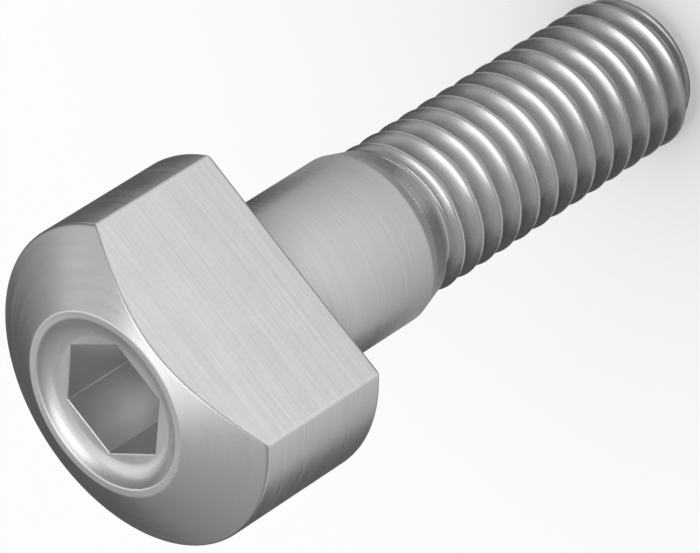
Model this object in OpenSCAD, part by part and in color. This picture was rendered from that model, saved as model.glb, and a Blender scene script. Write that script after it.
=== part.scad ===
// Hexagon socket screw with a D-shaped head, turned and threaded from one bar.
// The flat on the head bears on a ledge, so that the screw can't turn in its seat.
// Lying on its round back it would roll, so it stands on the flat end of its tip, head up.
// Millimetres, +Z up, flat towards +X. The origin is the middle of the tip's end, on the axis.

/* [Head] */
// Diameter of the round part of the head
head_d = 12; // [10.5:0.1:16]
// Height of the head, from the bearing face to the land
head_h = 7.1; // [6.2:0.1:10]
// Distance from the screw's axis to the flat on the head
flat_from_axis = 3.75; // [3.5:0.05:5]
// Angle of the bevel round the front, from the plane of the land
bevel_angle = 30; // [20:1:40]
// Radius of the slight crown across that bevel
bevel_crown = 60; // [40:5:200]
// Outer diameter of the flat land on the front
land_d = 6.9; // [6.2:0.1:8]
// Width of that land
land_w = 0.3; // [0.1:0.05:0.5]
// Radius of the fillet between the bearing face and the shank
fillet_r = 0.25; // [0.1:0.05:0.5]

/* [Socket] */
// Width of the hexagon across its flats
socket_af = 4; // [3:0.5:4.5]
// Depth of the hexagon, from the land
socket_depth = 4; // [2.5:0.1:4.5]
// Depth of the dished mouth, whose flat floor the hexagon starts from
dish_depth = 0.4; // [0.1:0.05:0.45]
// Width of the ledge that the drilled bottom leaves inside the hexagon
drill_ledge = 0.15; // [0.05:0.05:0.4]
// Included angle of the drilled bottom
drill_angle = 120; // [118:1:140]

/* [Shank] */
// Diameter of the plain shank
shank_d = 6.5; // [6.1:0.1:8]
// Length of the plain shank, from the bearing face
shank_l = 5.9; // [2:0.1:10]
// Length of the taper from the shank down to the thread
taper_l = 1; // [0.6:0.1:2]

/* [Thread] */
// Diameter over the crests
thread_d = 5.85; // [5.4:0.05:6]
// Distance from one crest to the next
pitch = 1; // [0.75:0.05:1.25]
// Length of the screw, from the bearing face to the tip
length = 20.8; // [16:0.1:30]
// Diameter of the flat end of the tip
tip_d = 4.8; // [4:0.1:5.2]
// Angle of the chamfer at the tip, from the screw's axis
tip_angle = 45; // [30:1:50]
// Length over which the groove rises out of the metal next to the taper
runout_l = 1.2; // [0.6:0.1:2]
// Steps to each turn of the thread
turn_steps = 40; // [24:2:48]

/* [Hidden] */
$fn = 96;
head_r = head_d / 2;
land_r = land_d / 2;
shank_r = shank_d / 2;
thread_r = thread_d / 2;
tip_r = tip_d / 2;
bevel_h = (head_r - land_r) * tan(bevel_angle);

// The crown's centre lies behind the middle of the bevel, and its arc runs through both edges.
bevel_w = (head_r - land_r) / cos(bevel_angle);
crown_back = sqrt(bevel_crown ^ 2 - bevel_w ^ 2 / 4);
crown_x = (land_r + head_r) / 2 - crown_back * sin(bevel_angle);
crown_y = -head_h + bevel_h / 2 + crown_back * cos(bevel_angle);

// The dish curves in from the land's inner edge, and its floor is flat from just outside the hexagon's corners.
mouth_r = land_r - land_w;
socket_r = socket_af / 2 / cos(30);
corner_clear = 0.05;
floor_r = socket_r + corner_clear;
dish_r = ((mouth_r - floor_r) ^ 2 + dish_depth ^ 2) / (2 * dish_depth);
drill_r = socket_af / 2 - drill_ledge;
drill_h = drill_r / tan(drill_angle / 2);

// The taper stops a hair's breadth over the crests, and the thread's stock starts inside it.
ledge = 0.03;
taper_end = shank_l + taper_l;
stock_start = taper_end - taper_l / 4;
core_start = stock_start - taper_l / 2;
core_r = thread_r * 0.7;

// Metric profile with 60 degrees between its flanks: the crest is a little round, and so is the root.
flank_slope = 1 / tan(30);
crest_half = 0.09;
crest_drop = (crest_half - 1 / 16) * flank_slope * pitch;
flank_drop = (3 / 8 - 1 / 16) * flank_slope * pitch;
root_drop = 0.6134 * pitch;
// Each entry is a place along one pitch and the depth below the crest there.
profile = [
    [-crest_half, crest_drop],
    [0, 0],
    [crest_half, crest_drop],
    [3 / 8, flank_drop],
    [1 / 2, root_drop],
    [5 / 8, flank_drop],
];

// On the flat's side, the last whole crest lies half a pitch before the chamfer.
chamfer_l = (thread_r - tip_r) / tan(tip_angle);
last_crest = length - chamfer_l - pitch / 2;
stock_end = length + pitch / 2;
turns_back = ceil((last_crest - core_start) / pitch) + 1;
turns_on = ceil((stock_end - last_crest) / pitch) + 1;
columns = (turns_back + turns_on) * turn_steps;
rows = len(profile);

// Height of a point of the thread's surface: every row climbs one pitch in each turn.
function thread_z(column, row) =
    last_crest + pitch * (column / turn_steps - turns_back + profile[row][0]);

// Radius there: the groove's floor rises to the surface over the run-out.
function thread_radius(z, row) =
    thread_r - min(profile[row][1], root_drop * max(z - stock_start, 0) / runout_l);

// Rows that lie past an end of the stock gather on its last ring.
function thread_point(column, row) =
    let (
        z = min(max(thread_z(column, row), stock_start), stock_end),
        r = z < stock_end ? thread_radius(z, row) : thread_r - root_drop,
        angle = 360 * column / turn_steps
    )
    [r * cos(angle), r * sin(angle), z];

// Number of a point, where the row after the last is the first row one turn on.
function thread_index(column, row) =
    row < rows ? column * rows + row : (column + turn_steps) * rows;

// One closed surface: a band that winds along the helix, with a cone at its start and a disc at its end.
module thread_stock() {
    total = columns + turn_steps + 1;
    points = [
        for (column = [0 : total - 1])
            for (row = [0 : rows - 1])
                thread_point(column, row)
    ];
    start_ring = [
        for (step = [0 : turn_steps - 1])
            [core_r * cos(360 * step / turn_steps), core_r * sin(360 * step / turn_steps), core_start]
    ];
    first = total * rows;
    ends = [[0, 0, core_start], [0, 0, stock_end]];
    hub = first + turn_steps;
    band = [
        for (column = [0 : columns - 1])
            for (row = [0 : rows - 1])
                let (
                    a = thread_index(column, row),
                    b = thread_index(column + 1, row),
                    c = thread_index(column + 1, row + 1),
                    d = thread_index(column, row + 1)
                )
                each [[a, c, b], [a, d, c]]
    ];
    start_faces = [
        for (step = [0 : turn_steps - 1])
            let (
                next = (step + 1) % turn_steps,
                a = first + step,
                b = first + next,
                c = thread_index(step + 1, 0),
                d = thread_index(step, 0)
            )
            each [[hub, a, b], [a, d, b], [b, d, c]]
    ];
    end_faces = [
        for (step = [0 : turn_steps - 1])
            [hub + 1, thread_index(columns + step + 1, 0), thread_index(columns + step, 0)]
    ];
    polyhedron(points = concat(points, start_ring, ends), faces = concat(band, start_faces, end_faces));
}

// The thread, with the chamfer of the tip cut as a true cone.
module thread() {
    clear = thread_r + pitch;
    intersection() {
        thread_stock();
        rotate_extrude()
            polygon([
                [0, core_start - pitch],
                [clear, core_start - pitch],
                [clear, length - (clear - tip_r) / tan(tip_angle)],
                [tip_r, length],
                [0, length],
            ]);
    }
}

// Half section of the head, the shank and the taper, from the axis outwards.
module blank() {
    rotate_extrude() {
        intersection() {
            translate([0, -head_h])
                square([head_r, head_h]);
            translate([crown_x, crown_y])
                circle(bevel_crown, $fn = 360);
        }
        polygon([
            [0, -head_h / 2],
            [shank_r, -head_h / 2],
            [shank_r, shank_l],
            [thread_r + ledge, taper_end],
            [0, taper_end],
        ]);
        difference() {
            translate([shank_r - fillet_r, -fillet_r])
                square(2 * fillet_r);
            translate([shank_r + fillet_r, fillet_r])
                circle(fillet_r);
        }
    }
}

// Everything past the plane of the flat, over the height of the head.
module flat_cut() {
    translate([flat_from_axis, -head_d, -2 * head_h])
        cube([head_d, 2 * head_d, 2 * head_h]);
}

// Hexagon with two sides parallel to the flat, a dished mouth and a drilled bottom.
module socket_cut() {
    translate([0, 0, -head_h]) {
        rotate([0, 0, 30])
            translate([0, 0, -1])
                cylinder(r = socket_r, h = socket_depth + 1, $fn = 6);
        rotate_extrude()
            polygon([
                [0, socket_depth / 2],
                [drill_r, socket_depth / 2],
                [drill_r, socket_depth],
                [0, socket_depth + drill_h],
            ]);
        rotate_extrude()
            intersection() {
                translate([0, -1])
                    square([land_r, 1 + dish_depth]);
                union() {
                    translate([0, -1])
                        square([floor_r, 1 + dish_depth]);
                    translate([floor_r, dish_depth - dish_r])
                        circle(dish_r);
                }
            }
    }
}

module screw() {
    color("gainsboro")
        translate([0, 0, length])
            rotate([180, 0, 0])
                union() {
                    difference() {
                        blank();
                        flat_cut();
                        socket_cut();
                    }
                    thread();
                }
}

screw();
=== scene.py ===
import math

import bmesh
import bpy
import numpy as np
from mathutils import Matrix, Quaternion, Vector


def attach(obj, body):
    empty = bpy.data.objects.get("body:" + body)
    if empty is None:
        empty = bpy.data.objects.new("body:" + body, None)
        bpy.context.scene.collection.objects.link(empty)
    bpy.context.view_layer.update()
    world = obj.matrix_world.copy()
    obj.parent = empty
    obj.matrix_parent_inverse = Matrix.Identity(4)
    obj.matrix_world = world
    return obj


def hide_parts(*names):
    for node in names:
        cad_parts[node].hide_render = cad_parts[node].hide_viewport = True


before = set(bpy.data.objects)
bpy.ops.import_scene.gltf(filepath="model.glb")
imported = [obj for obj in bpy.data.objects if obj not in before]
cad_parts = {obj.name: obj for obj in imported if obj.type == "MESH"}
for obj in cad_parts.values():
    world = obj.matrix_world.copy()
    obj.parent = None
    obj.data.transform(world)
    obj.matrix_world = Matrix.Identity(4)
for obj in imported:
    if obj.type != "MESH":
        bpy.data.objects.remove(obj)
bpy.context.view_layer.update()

# The screw as one smooth mesh with rounded edges and four finishes of steel, in a plain studio.

# Sizes in millimetres, as the part has them. The screw stands on its tip, so heights run up from there.
MM = 0.001
HEAD_R, HEAD_H, FLAT, BEVEL = 6.0, 7.1, 3.75, math.radians(30)
LAND_R, MOUTH_R = 3.45, 3.15
SOCKET_HALF, SOCKET_DEPTH, DISH_DEPTH, CORNER_CLEAR = 2.0, 4.0, 0.4, 0.05
DRILL_R, DRILL_SLOPE = 1.85, math.radians(60)
SHANK_R, SHANK_L, TAPER_L, LEDGE = 3.25, 5.9, 1.0, 0.03
THREAD_R, PITCH, LENGTH, TIP_R, RUNOUT = 2.925, 1.0, 20.8, 2.4, 1.2

# Sizes that follow from those
SIXTH = math.tau / 6
TOP = LENGTH + HEAD_H
DISH_FLOOR_R = SOCKET_HALF / math.cos(SIXTH / 2) + CORNER_CLEAR
TAPER_END = LENGTH - SHANK_L - TAPER_L
STOCK_START = TAPER_END + TAPER_L / 4
CHAMFER = THREAD_R - TIP_R
FIRST_CREST = CHAMFER + PITCH / 2

# Rounds that turned, milled and tumbled edges have, in millimetres
ROUND_FLAT_CORNER = 0.16
ROUND_HEX_CORNER = 0.07
ROUND_DRILL = 0.03
ROUND_SOCKET = 0.05
ROUND_MOUTH = 0.1
ROUND_FRONT = 0.14
ROUND_BEARING = 0.12
ROUND_UNDER_HEAD = 0.23
ROUND_SHANK = 0.2
ROUND_TIP = 0.05

# Metric profile, in pitches: round crest, straight flanks at 60 degrees, round root
FLANK_SLOPE = math.sqrt(3)
CREST_ROUND = FLANK_SLOPE / 16
ROOT_ROUND = FLANK_SLOPE / 12
ROOT_DEPTH = 0.6134

# How finely the mesh follows the forms
ARC_STEPS = 4
ROUND_ROWS = ARC_STEPS + 3
DISH_STEPS = 8
PLAIN_ANGLES = 240
FLAT_CORNER_ANGLES = 8
HEX_CORNER_ANGLES = 7
BEND_MARGIN = math.radians(0.45)
ANGLE_GAP = math.radians(0.35)
TURN_STEPS = 120
HOLD = 0.0225
HUB_R, HUB_DROP = 0.02, 0.01
FOOT_INSET = 0.97
DIGITS = 5

SOCKET, TURNED, MILLED, ROLLED = range(4)


def ray_on_circle(angle, centre_angle, centre_distance, radius):
    """Distance along a ray from the axis to the far side of a circle."""
    off = angle - centre_angle
    return centre_distance * np.cos(off) + np.sqrt(radius ** 2 - (centre_distance * np.sin(off)) ** 2)


def head_outline(angle):
    """Radius of the D-shaped head at each angle, and the angles between which its corners bend."""
    centre_x, centre_distance = FLAT - ROUND_FLAT_CORNER, HEAD_R - ROUND_FLAT_CORNER
    corner = math.acos(centre_x / centre_distance)
    on_flat = math.atan2(centre_distance * math.sin(corner), FLAT)
    away = np.abs(angle)
    radius = np.full_like(angle, HEAD_R)
    flat = away <= on_flat
    radius[flat] = FLAT / np.cos(away[flat])
    bend = (away > on_flat) & (away < corner)
    radius[bend] = ray_on_circle(away[bend], corner, centre_distance, ROUND_FLAT_CORNER)
    return radius, on_flat, corner


def hex_outline(angle):
    """Radius of the hexagon, with two sides parallel to the flat, and the angle at which a side ends."""
    away = np.abs((angle + SIXTH / 2) % SIXTH - SIXTH / 2)
    centre_distance = (SOCKET_HALF - ROUND_HEX_CORNER) / math.cos(SIXTH / 2)
    on_side = math.atan2(centre_distance * math.sin(SIXTH / 2), SOCKET_HALF)
    radius = SOCKET_HALF / np.cos(away)
    bend = away > on_side
    radius[bend] = ray_on_circle(away[bend], SIXTH / 2, centre_distance, ROUND_HEX_CORNER)
    return radius, on_side


def angle_list():
    """Angles round the axis, closer together at the corners of the flat and of the hexagon."""
    _, on_flat, corner = head_outline(np.zeros(1))
    _, on_side = hex_outline(np.zeros(1))
    flat_bend = np.linspace(on_flat - BEND_MARGIN, corner + BEND_MARGIN, FLAT_CORNER_ANGLES)
    half = SIXTH / 2 - on_side + BEND_MARGIN
    hex_bends = [SIXTH * (k - 2.5) + np.linspace(-half, half, HEX_CORNER_ANGLES) for k in range(6)]
    bends = np.concatenate([flat_bend, -flat_bend] + hex_bends)
    plain = np.linspace(-math.pi, math.pi, PLAIN_ANGLES, endpoint=False)
    clear = np.abs(plain[:, None] - bends).min(axis=1) > ANGLE_GAP
    return np.sort(np.concatenate([plain[clear], bends]))


def unit(vectors):
    """The vectors at length 1, and their lengths."""
    lengths = np.linalg.norm(vectors, axis=1, keepdims=True)
    return vectors / lengths, lengths


def rounded(corners):
    """Rows of (radius, height) along a section whose corners are (radius, height, size of the round)."""
    count = max(np.size(c[0]) for c in corners)
    points = [np.stack([np.broadcast_to(v, count) for v in c[:2]], 1).astype(float) for c in corners]
    rows = [points[0]]
    for i in range(1, len(corners) - 1):
        here, size = points[i], corners[i][2]
        if not size:
            rows.append(here)
            continue
        back, back_l = unit(points[i - 1] - here)
        ahead, ahead_l = unit(points[i + 1] - here)
        between = np.arccos(np.clip((back * ahead).sum(1, keepdims=True), -1, 1))
        run = size / np.tan(between / 2)
        middle = here + unit(back + ahead)[0] * size / np.sin(between / 2)
        start, end = here + back * run, here + ahead * run
        sweep = math.pi - between
        # A row just outside each end of the arc keeps the faces beside it flat.
        rows.append(start + back * np.minimum(HOLD, (back_l - run) / 2))
        for share in np.linspace(0, 1, ARC_STEPS + 1):
            from_start, from_end = np.sin((1 - share) * sweep), np.sin(share * sweep)
            rows.append(middle + ((start - middle) * from_start + (end - middle) * from_end) / np.sin(sweep))
        rows.append(end + ahead * np.minimum(HOLD, (ahead_l - run) / 2))
    rows.append(points[-1])
    return rows


class Shell:
    """Vertices in millimetres, and faces with the number of their finish."""

    def __init__(self):
        self.points, self.faces, self.finish = [], [], []

    def add(self, points):
        first = len(self.points)
        self.points += [tuple(p) for p in points]
        return list(range(first, len(self.points)))

    def face(self, corners, finish):
        """Adds a face, without corners that repeat the one before."""
        kept = [c for i, c in enumerate(corners) if c != corners[i - 1]]
        if len(kept) > 2:
            self.faces.append(kept)
            self.finish.append(finish)

    def bridge(self, ring, other, finish):
        """Joins two rings of different counts, each a list of (angle, vertex) that runs once round."""
        ring = ring + [(ring[0][0] + math.tau, ring[0][1])]
        other = other + [(other[0][0] + math.tau, other[0][1])]
        i = j = 0
        while i < len(ring) - 1 or j < len(other) - 1:
            if j == len(other) - 1 or (i < len(ring) - 1 and ring[i + 1][0] <= other[j + 1][0]):
                self.face([ring[i][1], ring[i + 1][1], other[j][1]], finish)
                i += 1
            else:
                self.face([ring[i][1], other[j + 1][1], other[j][1]], finish)
                j += 1


def dish_corners():
    """Points of the dish's arc, from its flat floor up towards the land."""
    width = MOUTH_R - DISH_FLOOR_R
    radius = (width ** 2 + DISH_DEPTH ** 2) / (2 * DISH_DEPTH)
    sweep = math.asin(width / radius)
    turns = [sweep * k / DISH_STEPS for k in range(DISH_STEPS)]
    floor = TOP - DISH_DEPTH
    return [(DISH_FLOOR_R + radius * math.sin(t), floor + radius * (1 - math.cos(t)), 0) for t in turns]


def add_blank(shell, angles):
    """Everything above the thread, as one grid of rows from socket to taper. Returns its last ring."""
    out, on_flat, _ = head_outline(angles)
    hexagon, _ = hex_outline(angles)
    floor = TOP - SOCKET_DEPTH
    socket = [
        (HUB_R, floor - DRILL_R / math.tan(DRILL_SLOPE), 0),
        (DRILL_R, floor, ROUND_DRILL),
        (hexagon, floor, ROUND_SOCKET),
        (hexagon, TOP - DISH_DEPTH, ROUND_SOCKET),
    ]
    front = dish_corners() + [(MOUTH_R, TOP, ROUND_MOUTH), (LAND_R, TOP, ROUND_FRONT)]
    outside = [
        (out, TOP - (out - LAND_R) * math.tan(BEVEL), ROUND_FRONT),
        (out, LENGTH, ROUND_BEARING),
        (SHANK_R, LENGTH, ROUND_UNDER_HEAD),
        (SHANK_R, LENGTH - SHANK_L, ROUND_SHANK),
        (THREAD_R + LEDGE, TAPER_END, 0),
    ]
    corners = socket + front + outside
    rows = rounded(corners)
    # A round makes several rows and a plain corner one, and the finish changes in the middle of a round.
    starts = np.cumsum([0] + [ROUND_ROWS if c[2] else 1 for c in corners])
    middles = starts[:-1] + ROUND_ROWS // 2
    rim_row = middles[len(socket) - 1]
    side_from, side_to = middles[len(socket + front)], middles[len(socket + front) + 1]
    x, y = np.cos(angles), np.sin(angles)
    rings = [shell.add(np.stack([r[:, 0] * x, r[:, 0] * y, r[:, 1]], 1)) for r in rows]
    hub = shell.add([(0, 0, rows[0][0, 1] - HUB_DROP)])[0]
    flat = np.abs(angles + np.diff(angles, append=angles[0] + math.tau) / 2) < on_flat
    for k in range(len(angles)):
        n = (k + 1) % len(angles)
        shell.face([hub, rings[0][k], rings[0][n]], SOCKET)
        for row in range(len(rings) - 1):
            if row < rim_row:
                finish = SOCKET
            elif side_from <= row < side_to and flat[k]:
                finish = MILLED
            else:
                finish = TURNED
            shell.face([rings[row][k], rings[row + 1][k], rings[row + 1][n], rings[row][n]], finish)
    return list(zip(angles, rings[-1]))


def profile_rows():
    """Places along one pitch at which the thread's profile is sampled, with its crest at 0."""
    crest = CREST_ROUND * np.sin(np.radians([0, 20, 40, 60]))
    flank = np.array([0.16, 0.23, 0.3])
    root = 0.5 - ROOT_ROUND * np.sin(np.radians([60, 40, 20]))
    half = np.concatenate([crest, flank, root])
    return np.concatenate([-half[:0:-1], half])


def thread_depth(phase):
    """Depth below the crests, in pitches, where phase counts pitches from a crest."""
    away = np.abs((phase + 0.5) % 1 - 0.5)
    depth = FLANK_SLOPE * (away - 1 / 16)
    crest = away < CREST_ROUND * math.cos(math.radians(30))
    depth[crest] = CREST_ROUND - np.sqrt(CREST_ROUND ** 2 - away[crest] ** 2)
    root = away > 3 / 8
    rise = np.sqrt(np.maximum(ROOT_ROUND ** 2 - (0.5 - away[root]) ** 2, 0))
    depth[root] = ROOT_DEPTH - ROOT_ROUND + rise
    return depth


def thread_radius(angle, height):
    """Radius of the thread, which rises out of the metal at the taper and is chamfered at the tip."""
    depth = PITCH * thread_depth((height - FIRST_CREST) / PITCH - angle / math.tau)
    depth = np.minimum(depth, ROOT_DEPTH * PITCH * np.maximum(STOCK_START - height, 0) / RUNOUT)
    edge = np.interp(height, [0, ROUND_TIP], [TIP_R - ROUND_TIP / 2, TIP_R + ROUND_TIP])
    chamfer = np.where(height < ROUND_TIP, edge, TIP_R + height)
    return np.minimum(THREAD_R - depth, chamfer)


def add_thread(shell, taper_ring):
    """A band that winds along the helix; what lies past an end gathers on that end's ring."""
    places = profile_rows()
    turns_down = math.ceil(FIRST_CREST / PITCH) + 1
    turns_up = math.ceil((TAPER_END - FIRST_CREST) / PITCH) + 1
    column = np.arange(-turns_down * TURN_STEPS, (turns_up + 1) * TURN_STEPS + 1)
    step = column % TURN_STEPS
    angle = (column * math.tau / TURN_STEPS)[:, None]
    height = np.clip(FIRST_CREST + PITCH * (angle / math.tau + places), 0, TAPER_END)
    radius = thread_radius(np.broadcast_to(angle, height.shape), height)
    turn = (step * math.tau / TURN_STEPS)[:, None]
    points = np.stack([radius * np.cos(turn), radius * np.sin(turn), height], 2)

    # Points that fall together on an end's ring share one vertex.
    keys, index = {}, np.zeros(height.shape, int)
    for c, r in np.ndindex(*height.shape):
        key = int(step[c]), round(float(height[c, r]), DIGITS)
        if key not in keys:
            keys[key] = shell.add([points[c, r]])[0]
        index[c, r] = keys[key]

    # The row after the last is the first row one turn on.
    last = len(places) - 1
    for c, r in np.ndindex(len(column) - 1, len(places)):
        if r < last:
            above = index[c, r + 1], index[c + 1, r + 1]
        elif c + 1 + TURN_STEPS < len(column):
            above = index[c + TURN_STEPS, 0], index[c + 1 + TURN_STEPS, 0]
        else:
            continue
        shell.face([index[c, r], index[c + 1, r], above[1], above[0]], ROLLED)

    # Joins the upper end to the taper and closes the tip with a disc.
    upper = sorted(((s * math.tau / TURN_STEPS + math.pi) % math.tau - math.pi, v)
                   for (s, h), v in keys.items() if h == round(TAPER_END, DIGITS))
    shell.bridge(taper_ring, upper, TURNED)
    foot = [v for _, v in sorted((s, v) for (s, h), v in keys.items() if h == 0)]
    inner = shell.add([(shell.points[v][0] * FOOT_INSET, shell.points[v][1] * FOOT_INSET, 0) for v in foot])
    hub = shell.add([(0, 0, 0)])[0]
    for k in range(len(foot)):
        n = (k + 1) % len(foot)
        shell.face([foot[k], foot[n], inner[n], inner[k]], TURNED)
        shell.face([inner[k], inner[n], hub], TURNED)


def make_screw():
    shell = Shell()
    add_thread(shell, add_blank(shell, angle_list()))
    mesh = bpy.data.meshes.new("screw_body")
    mesh.from_pydata([tuple(c * MM for c in p) for p in shell.points], [], shell.faces)
    mesh.polygons.foreach_set("material_index", shell.finish)
    mesh.polygons.foreach_set("use_smooth", [True] * len(shell.faces))
    mesh.validate()
    bm = bmesh.new()
    bm.from_mesh(mesh)
    bmesh.ops.recalc_face_normals(bm, faces=bm.faces)
    bm.to_mesh(mesh)
    bm.free()
    made = bpy.data.objects.new("screw_body", mesh)
    bpy.context.scene.collection.objects.link(made)
    return made


OPEN_SAMPLES = 16


class Nodes:
    """A shader's nodes, made and linked in short lines."""

    def __init__(self, owner):
        owner.use_nodes = True
        self.tree = owner.node_tree
        self.tree.nodes.clear()

    def make(self, kind, inputs, **settings):
        """A node with its settings. Inputs, by number or name, are links or the socket's own value."""
        node = self.tree.nodes.new(kind)
        for name, value in settings.items():
            setattr(node, name, value)
        for key, value in inputs.items():
            if isinstance(value, bpy.types.NodeSocket):
                self.tree.links.new(value, node.inputs[key])
            else:
                node.inputs[key].default_value = value
        return node

    def math(self, operation, a, b=0.0):
        return self.make("ShaderNodeMath", {0: a, 1: b}, operation=operation).outputs[0]

    def remap(self, value, low, high, to_low, to_high):
        inputs = {0: value, 1: low, 2: high, 3: to_low, 4: to_high}
        return self.make("ShaderNodeMapRange", inputs, clamp=True).outputs[0]

    def combine(self, x, y, z):
        return self.make("ShaderNodeCombineXYZ", {0: x, 1: y, 2: z}).outputs[0]

    def stretch(self, place, per_mm):
        """The place with its own number of marks to the millimetre along each axis."""
        return self.combine(*(self.math("MULTIPLY", p, k) for p, k in zip(place, per_mm)))

    def noise(self, vector, scale, detail):
        inputs = {"Vector": vector, "Scale": scale, "Detail": detail, "Roughness": 0.5}
        return self.make("ShaderNodeTexNoise", inputs, noise_dimensions="3D").outputs["Fac"]

    def mix(self, share, a, b):
        return self.make("ShaderNodeMix", {0: share, 6: a, 7: b}, data_type="RGBA").outputs[2]

    def open_share(self, reach):
        """Share of the view from a surface that nothing blocks within a distance."""
        inputs, samples = {"Distance": reach}, OPEN_SAMPLES
        return self.make("ShaderNodeAmbientOcclusion", inputs, samples=samples, inside=False).outputs["AO"]

    def surface(self, shader, kind="ShaderNodeOutputMaterial"):
        self.make(kind, {"Surface": shader.outputs[0]})


# Colours of the bright metal, of its faint clouds and of the painted shade in hollows
BRIGHT = (0.80, 0.80, 0.81, 1)
CLOUD = (0.70, 0.71, 0.73, 1)
SHADE_COLOUR = (0.10, 0.10, 0.10, 1)

# The finish: shares of the clouds' colour, roughness that specks and clouds add, and how fine each is
CLOUD_SHARE, MARK_SHARE = 0.2, 0.3
SPECK_ROUGH, CLOUD_ROUGH = 0.05, 0.03
CLOUD_PER_MM, SPECK_PER_MM = 0.55, 9.0
MARK_DETAIL, CLOUD_DETAIL, SPECK_DETAIL = 1.5, 3.0, 2.0
MARK_HEIGHT = 0.00002
SHADE_SPAN = 0.65
STEEL_IOR = 2.5


def steel(name, grain, rough, bump, painted_shade, reach, open_from, rings=0.0):
    """Bright steel with the marks of one tool.

    grain turns the place in millimetres into the coordinates of the tool marks, whose strength is bump, and
    rough is the range of roughness over them. painted_shade is how far hollows are darkened by painted
    shade:
    they are what has less than open_from of its view open within reach millimetres. rings is how far gloss
    is drawn out round the axis.
    """
    material = bpy.data.materials.new(name)
    n = Nodes(material)
    here = n.make("ShaderNodeTexCoord", {}).outputs["Object"]
    mm = n.make("ShaderNodeVectorMath", {0: here, "Scale": 1 / MM}, operation="SCALE").outputs[0]
    x, y, z = n.make("ShaderNodeSeparateXYZ", {0: mm}).outputs
    marks = n.noise(grain(n, x, y, z), 1.0, MARK_DETAIL)
    clouds = n.noise(mm, CLOUD_PER_MM, CLOUD_DETAIL)
    specks = n.noise(mm, SPECK_PER_MM, SPECK_DETAIL)

    # Painted shade: where less of the view is open within reach, the metal is mixed towards a dark colour.
    hollow = n.remap(n.open_share(reach * MM), open_from - SHADE_SPAN, open_from, painted_shade, 0.0)
    tint = n.mix(n.remap(clouds, 0.35, 0.7, 0.0, CLOUD_SHARE), BRIGHT, CLOUD)
    tint = n.mix(n.remap(marks, 0.3, 0.7, 0.0, MARK_SHARE), tint, CLOUD)
    dull = n.math("ADD", n.remap(marks, 0.25, 0.75, *rough), n.remap(specks, 0.4, 0.7, 0.0, SPECK_ROUGH))
    dull = n.math("ADD", dull, n.remap(clouds, 0.3, 0.7, 0.0, CLOUD_ROUGH))
    relief = n.make("ShaderNodeBump", {"Strength": bump, "Distance": MARK_HEIGHT, "Height": marks})
    inputs = {"Base Color": n.mix(hollow, tint, SHADE_COLOUR), "Metallic": 1.0, "IOR": STEEL_IOR,
              "Roughness": dull, "Normal": relief.outputs[0]}
    if rings:
        inputs["Anisotropic"] = rings
        inputs["Tangent"] = n.combine(n.math("MULTIPLY", y, -1.0), x, 0.0)
    n.surface(n.make("ShaderNodeBsdfPrincipled", inputs))
    return material


def turned_grain(n, x, y, z):
    """Rings round the axis: close together along the section, long round it."""
    across = n.math("SQRT", n.math("ADD", n.math("MULTIPLY", x, x), n.math("MULTIPLY", y, y)))
    along = n.math("ADD", n.math("MULTIPLY", z, 11.0), n.math("MULTIPLY", across, 10.0))
    return n.stretch((along, x, y), (1.0, 0.2, 0.2))


def milled_grain(n, x, y, z):
    """Straight passes of the cutter, across the head."""
    return n.stretch((x, y, z), (2.0, 0.2, 11.0))


def broached_grain(n, x, y, z):
    """Fine lines down the walls of the socket."""
    return n.stretch((x, y, z), (14.0, 14.0, 0.6))


def rolled_grain(n, x, y, z):
    """Smooth lines that follow the thread."""
    return n.stretch((z, x, y), (12.0, 0.7, 0.7))


# One finish for each of SOCKET, TURNED, MILLED and ROLLED, in that order
screw = make_screw()
for finish in (
    steel("steel_broached", broached_grain, (0.30, 0.44), bump=0.3, painted_shade=0.55, reach=0.9, open_from=0.8),
    steel("steel_turned", turned_grain, (0.24, 0.34), bump=0.15, painted_shade=0.7, reach=2.0, open_from=1.0,
          rings=0.5),
    steel("steel_milled", milled_grain, (0.26, 0.38), bump=0.15, painted_shade=0.3, reach=0.9, open_from=0.8),
    steel("steel_rolled", rolled_grain, (0.22, 0.32), bump=0.1, painted_shade=0.7, reach=0.9, open_from=0.8),
):
    screw.data.materials.append(finish)
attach(screw, "root")
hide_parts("screw")


# Studio, in metres. The floor is matt, and white to the camera, with the screw's soft shadow painted into
# its glow where less of its view is open; its small matt share keeps a faint real shadow.
FLOOR_HALF = 0.6
FLOOR_COLOUR = (0.86, 0.86, 0.86, 1)
FLOOR_WHITE = 0.95
SHADOW_REACH, SHADOW_DEPTH = 0.03, 0.5
SHADOW_FROM, SHADOW_TO = 0.97, 0.45
# In the metal's reflections the floor is painted darker: grey round the foot, as painted shadow, and to the
# sides, as painted shade, and white further off in front.
FLOOR_GREY = (0.48, 0.48, 0.48, 1)
FLOOR_GLOSS = 0.95
GLOSS_NEAR, GLOSS_FAR = 0.012, 0.034
GLOSS_SIDE, SIDE_FROM, SIDE_TO = 0.3, 1.0, -0.1
# The room is greyer towards the horizon than overhead.
SKY_LOW, SKY_HIGH = 0.25, 0.5
# A dark card round the far side gives the metal's edges a line against the white.
CARD_R, CARD_LOW, CARD_HIGH = 0.022, 0.0005, 0.027
CARD_HALF, CARD_STEPS = math.radians(75), 32
CARD_COLOUR = (0.08, 0.08, 0.08, 1)
# Lamps face the middle of the screw.
MIDDLE = Vector((0, 0, 0.014))

# Camera that fits the drawing's lines: where it stands, the middle of its picture, its turn about the line
# of sight, which lays the standing screw across the picture, and its lens in millimetres
CAM_EYE = Vector((0.1945, -0.0301, 0.1715))
CAM_AIM = Vector((0, -0.00082, 0.01629))
CAM_ROLL = math.radians(-122.67)
CAM_LENS, CAM_SENSOR = 375.7, 36
CAM_NEAR, CAM_FAR = 0.01, 5
FRONT = Vector((CAM_EYE.x, CAM_EYE.y, 0)).normalized()


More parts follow.
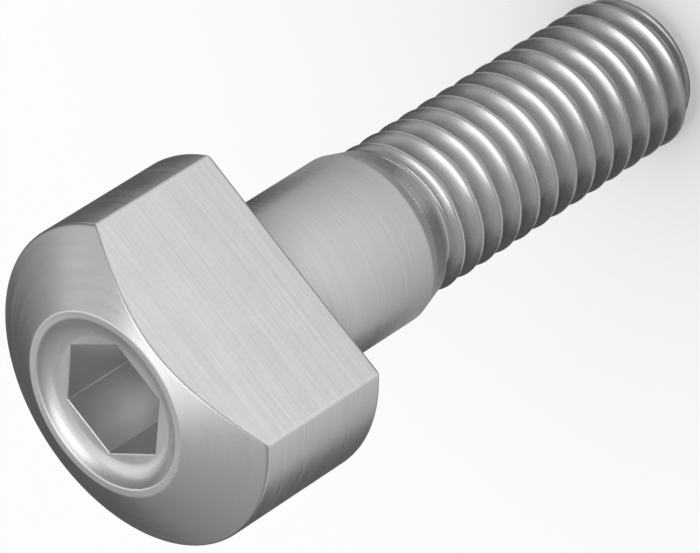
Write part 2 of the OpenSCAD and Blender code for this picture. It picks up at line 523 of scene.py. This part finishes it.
def make_stage(name, points, faces):
    """A mesh of the studio, with a material of its own."""
    mesh = bpy.data.meshes.new(name)
    mesh.from_pydata(points, [], faces)
    made = bpy.data.objects.new(name, mesh)
    bpy.context.scene.collection.objects.link(made)
    mesh.materials.append(bpy.data.materials.new(name))
    return made, Nodes(mesh.materials[0])


def make_floor():
    h = FLOOR_HALF
    _, n = make_stage("floor", [(-h, -h, 0), (h, -h, 0), (h, h, 0), (-h, h, 0)], [(0, 1, 2, 3)])
    path = n.make("ShaderNodeLightPath", {}).outputs
    here = n.make("ShaderNodeTexCoord", {}).outputs["Object"]
    away = n.make("ShaderNodeVectorMath", {0: here}, operation="LENGTH").outputs["Value"]
    ahead = n.make("ShaderNodeVectorMath", {0: here, 1: FRONT}, operation="DOT_PRODUCT").outputs["Value"]
    # Painted shade in reflections: mirrored rays see a greyer floor, with less glow near the foot and to the
    # sides.
    gloss = n.remap(away, GLOSS_NEAR, GLOSS_FAR, 0.0, FLOOR_GLOSS)
    side = n.remap(n.math("DIVIDE", ahead, away), SIDE_TO, SIDE_FROM, GLOSS_SIDE, 1.0)
    mirrored = n.math("MAXIMUM", path["Is Glossy Ray"], path["Is Transmission Ray"])
    in_metal = n.math("MULTIPLY", n.math("MULTIPLY", mirrored, gloss), side)
    share = n.math("MAXIMUM", n.math("MULTIPLY", path["Is Camera Ray"], FLOOR_WHITE), in_metal)
    # Painted shadow: the floor's glow dims round the screw's foot, where less of its view is open.
    white = n.remap(n.open_share(SHADOW_REACH), SHADOW_TO, SHADOW_FROM, 1.0 - SHADOW_DEPTH, 1.0)
    matt = n.make("ShaderNodeBsdfDiffuse", {"Color": n.mix(mirrored, FLOOR_COLOUR, FLOOR_GREY)})
    glow = n.make("ShaderNodeEmission", {"Strength": white})
    n.surface(n.make("ShaderNodeMixShader", {0: share, 1: matt.outputs[0], 2: glow.outputs[0]}))


def make_card():
    far = math.atan2(-FRONT.y, -FRONT.x)
    angles = [far + CARD_HALF * (2 * k / CARD_STEPS - 1) for k in range(CARD_STEPS + 1)]
    points = [(CARD_R * math.cos(a), CARD_R * math.sin(a), h) for h in (CARD_LOW, CARD_HIGH) for a in angles]
    above = len(angles)
    faces = [(k, k + 1, above + k + 1, above + k) for k in range(CARD_STEPS)]
    card, n = make_stage("card", points, faces)
    card.visible_camera = card.visible_shadow = card.visible_diffuse = False
    n.surface(n.make("ShaderNodeEmission", {"Color": CARD_COLOUR}))


def make_sky():
    sky = bpy.data.worlds.new("studio")
    bpy.context.scene.world = sky
    n = Nodes(sky)
    towards = n.make("ShaderNodeTexCoord", {}).outputs["Generated"]
    up = n.make("ShaderNodeSeparateXYZ", {0: towards}).outputs[2]
    bright = n.remap(up, 0.0, 0.9, SKY_LOW, SKY_HIGH)
    n.surface(n.make("ShaderNodeBackground", {"Strength": bright}), "ShaderNodeOutputWorld")


def make_lamp(name, place, size, power):
    """A square soft box that faces the screw."""
    data = bpy.data.lights.new(name, "AREA")
    data.shape, data.size, data.energy = "SQUARE", size, power
    made = bpy.data.objects.new(name, data)
    bpy.context.scene.collection.objects.link(made)
    made.location = place
    made.rotation_euler = (MIDDLE - Vector(place)).to_track_quat("-Z", "Y").to_euler()


def make_camera():
    data = bpy.data.cameras.new("camera")
    data.sensor_fit, data.sensor_width, data.lens = "HORIZONTAL", CAM_SENSOR, CAM_LENS
    data.clip_start, data.clip_end = CAM_NEAR, CAM_FAR
    made = bpy.data.objects.new("camera", data)
    bpy.context.scene.collection.objects.link(made)
    level = (CAM_AIM - CAM_EYE).to_track_quat("-Z", "Y")
    made.location = CAM_EYE
    made.rotation_euler = (level @ Quaternion((0, 0, 1), CAM_ROLL)).to_euler()
    bpy.context.scene.camera = made


make_floor()
make_card()
make_sky()
make_lamp("key", (0.20, 0.03, 0.30), 0.36, 0.36)
make_lamp("overhead", (0.03, 0.0, 0.36), 0.30, 0.15)
make_lamp("back", (-0.20, 0.16, 0.30), 0.26, 0.12)
make_camera()
bpy.context.scene.view_settings.view_transform = "Standard"
